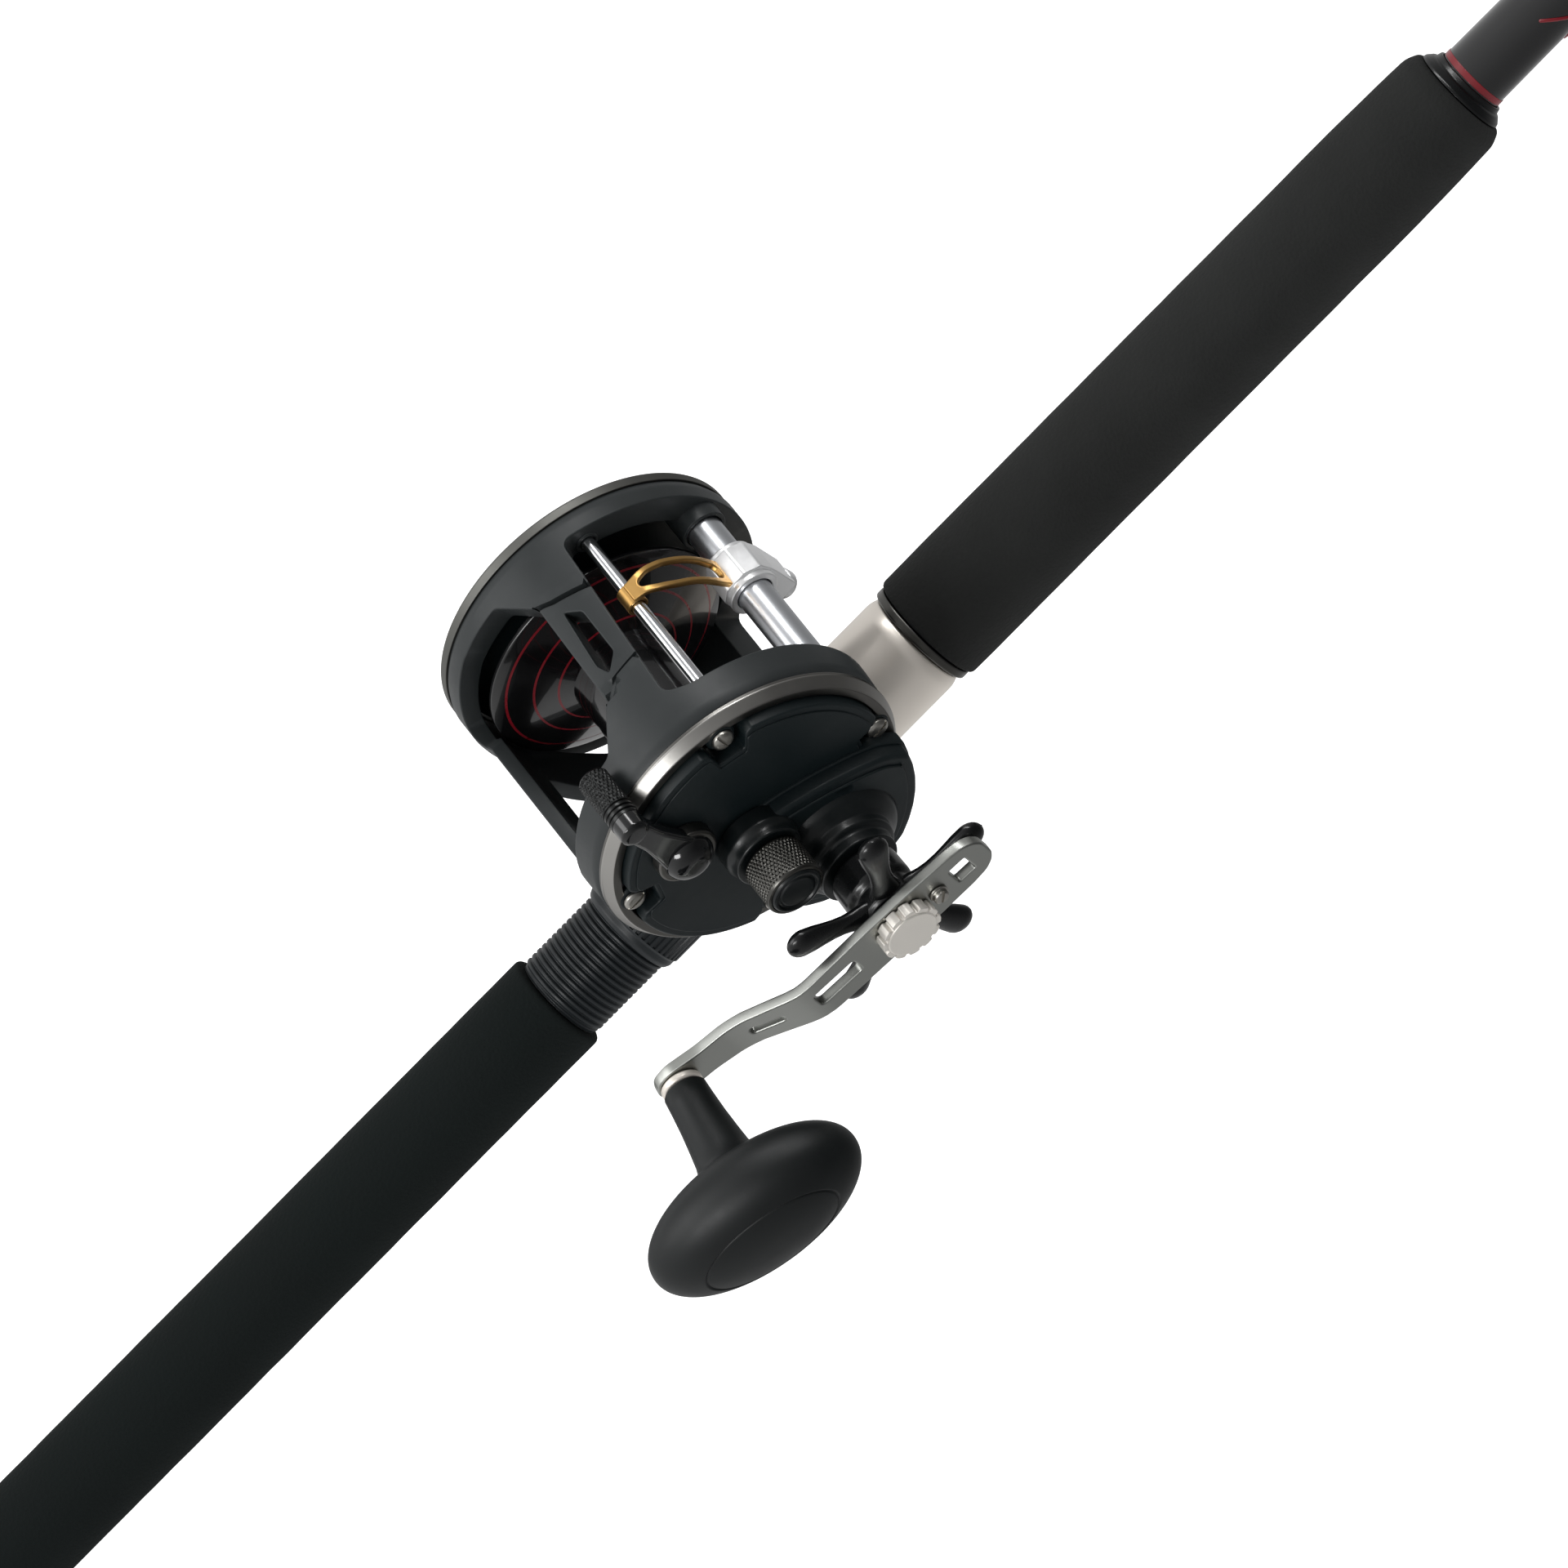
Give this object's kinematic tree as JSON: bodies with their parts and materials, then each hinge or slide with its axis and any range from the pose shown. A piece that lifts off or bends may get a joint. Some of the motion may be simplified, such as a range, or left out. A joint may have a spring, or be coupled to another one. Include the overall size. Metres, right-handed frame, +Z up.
{
  "type": "fishing rod and reel",
  "caption": "Boat fishing rod with foam grips and a level-wind conventional reel: side plates, crank with oval knob, star drag, free-spool lever, line guide and rod guides.",
  "frame": {"origin": "centre of the flat butt end of the rod", "axes": "+X along the rod from the butt to the tip, +Y to the angler's left, +Z up from the rod through the reel; the crank is on the -Y side"},
  "size_m": [1.98, 0.1759, 0.1257],
  "materials": {
    "foam": "matte closed-cell foam grip",
    "butt_rubber": "matte moulded rubber",
    "blank": "gloss black lacquered glass-fibre blank with red wraps",
    "graphite": "matte charcoal moulded graphite composite",
    "cover": "satin blue-black moulded cover",
    "gloss_black": "gloss black",
    "anodised_spool": "gloss black anodised with fine red rings",
    "stainless": "brushed stainless steel",
    "chrome": "polished chrome",
    "trim_metal": "satin grey anodised with a bright bevel",
    "gunmetal": "dark anodised, knurled",
    "gold": "satin gold titanium-nitride look",
    "brass": "machined brass",
    "ceramic": "polished dark ceramic",
    "carbon": "woven carbon drag material",
    "knob": "soft-touch black rubber"
  },
  "bodies": {
    "rod": {"rear_grip": "foam", "foregrip": "foam", "butt_cap": "butt_rubber", "rod_blank": "blank", "winding_check": "gloss_black", "reel_seat": "graphite", "reel_frame": "graphite", "left_side_plate": "cover", "right_side_plate": "cover", "fixed_hood": "stainless", "reel_foot": "stainless", "left_bearing": "stainless", "right_bearing": "stainless", "tip_top": "stainless", "guide_1": "stainless", "guide_2": "stainless", "guide_3": "stainless", "guide_4": "stainless", "guide_5": "stainless", "left_screw_1": "stainless", "left_screw_2": "stainless", "left_screw_3": "stainless", "right_screw_1": "stainless", "right_screw_2": "stainless", "right_screw_3": "stainless", "right_screw_4": "stainless", "worm_shield": "chrome", "guide_bar": "chrome", "left_trim_ring": "trim_metal", "right_trim_ring": "trim_metal", "seat_trim_ring": "gunmetal", "tip_ring": "ceramic", "guide_ring_1": "ceramic", "guide_ring_2": "ceramic", "guide_ring_3": "ceramic", "guide_ring_4": "ceramic", "guide_ring_5": "ceramic"},
    "hood": {"sliding_hood": "graphite"},
    "nut": {"lock_nut": "graphite"},
    "spool": {"spool": "anodised_spool", "spool_shaft": "stainless", "pinion_gear": "brass"},
    "crank": {"drive_shaft": "stainless", "drive_gear": "brass", "drag_washer": "carbon", "handle_arm": "stainless", "handle_nut": "stainless", "nut_lock_screw": "stainless", "knob_shaft": "stainless"},
    "star": {"star_drag": "gloss_black"},
    "knob": {"handle_knob": "knob"},
    "idler": {"idler_gear": "brass"},
    "worm": {"worm_shaft": "stainless", "worm_gear": "brass"},
    "carriage": {"guide_carriage": "chrome", "line_guide": "gold"},
    "lever": {"freespool_lever": "gloss_black", "lever_knob": "gunmetal"},
    "cap": {"tension_cap": "gunmetal"},
    "click": {"click_button": "gunmetal"}
  },
  "joints": [
    {"name": "crank_turn", "type": "hinge", "parent": "rod", "child": "crank", "pos_m": [0.3615, -0.06, 0.0383], "axis": [0, 1, 0], "continuous": true},
    {"name": "spool_turn", "type": "hinge", "parent": "rod", "child": "spool", "pos_m": [0.3501, 0, 0.0606], "axis": [0, 1, 0], "continuous": true},
    {"name": "idler_turn", "type": "hinge", "parent": "rod", "child": "idler", "pos_m": [0.37016, -0.033, 0.06335], "axis": [0, 1, 0], "continuous": true},
    {"name": "worm_turn", "type": "hinge", "parent": "rod", "child": "worm", "pos_m": [0.39022, 0, 0.0661], "axis": [0, 1, 0], "continuous": true},
    {"name": "knob_spin", "type": "hinge", "parent": "crank", "child": "knob", "pos_m": [0.29275, -0.07047, 0.04419], "axis": [-0.1128, -0.9936, 0.0097], "continuous": true},
    {"name": "star_turn", "type": "hinge", "parent": "crank", "child": "star", "pos_m": [0.3615, -0.07, 0.0383], "axis": [0, -1, 0], "range_deg": [-180, 180]},
    {"name": "line_guide_slide", "type": "slide", "parent": "rod", "child": "carriage", "axis": [0, 1, 0], "range_m": [-0.024, 0.01]},
    {"name": "freespool_lever_turn", "type": "hinge", "parent": "rod", "child": "lever", "pos_m": [0.338, -0.048, 0.0792], "axis": [0, -1, 0], "range_deg": [0, 45]},
    {"name": "tension_cap_turn", "type": "hinge", "parent": "rod", "child": "cap", "pos_m": [0.3501, -0.06, 0.0606], "axis": [0, -1, 0], "range_deg": [-180, 180]},
    {"name": "click_press", "type": "slide", "parent": "rod", "child": "click", "axis": [0, -1, 0], "range_m": [0, 0.002]},
    {"name": "hood_slide", "type": "slide", "parent": "rod", "child": "hood", "axis": [-1, 0, 0], "range_m": [0, 0.0126]},
    {"name": "lock_nut_turn", "type": "hinge", "parent": "hood", "child": "nut", "pos_m": [0.3036, 0, 0], "axis": [-1, 0, 0], "range_deg": [-5, 2525]}
  ],
  "couplings": [
    {"joint": "spool_turn", "follows": "crank_turn", "ratio": -4.875},
    {"joint": "idler_turn", "follows": "crank_turn", "ratio": 1.3},
    {"joint": "worm_turn", "follows": "crank_turn", "ratio": -4.875},
    {"joint": "lock_nut_turn", "follows": "hood_slide", "rad_per_m": 3490.7}
  ]
}
